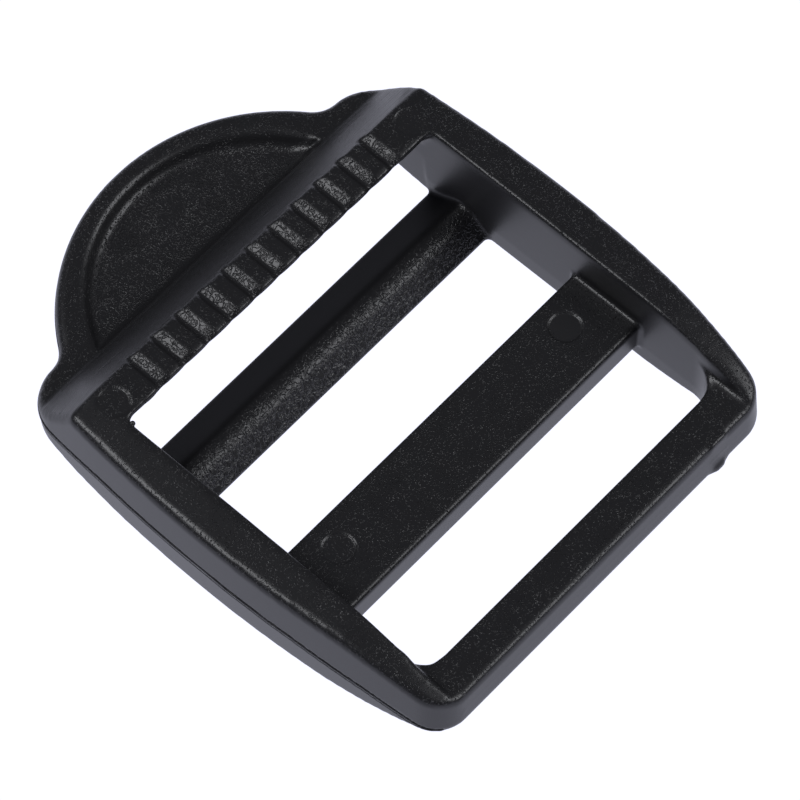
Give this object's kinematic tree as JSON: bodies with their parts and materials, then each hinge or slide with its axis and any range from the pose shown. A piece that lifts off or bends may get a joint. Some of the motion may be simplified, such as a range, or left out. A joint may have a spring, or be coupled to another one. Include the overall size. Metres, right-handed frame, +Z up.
{
  "type": "ladder lock buckle slider",
  "caption": "Flat moulded strap slider with crossbars between two bowed rails, a toothed bar that grips the webbing and a rounded thumb tab to release it.",
  "frame": {"origin": "middle of the buckle's width and length, at the height of the surface the rails stand on", "axes": "+X across the strap, +Y along the strap towards the thumb tab, +Z up out of the toothed face"},
  "size_m": [0.0318, 0.039, 0.0069],
  "materials": {
    "black_nylon": "black moulded nylon, fine spark-eroded grain on the top faces, satin on the drafted sides"
  },
  "bodies": {
    "root": {"buckle_frame": "black_nylon"}
  },
  "joints": []
}
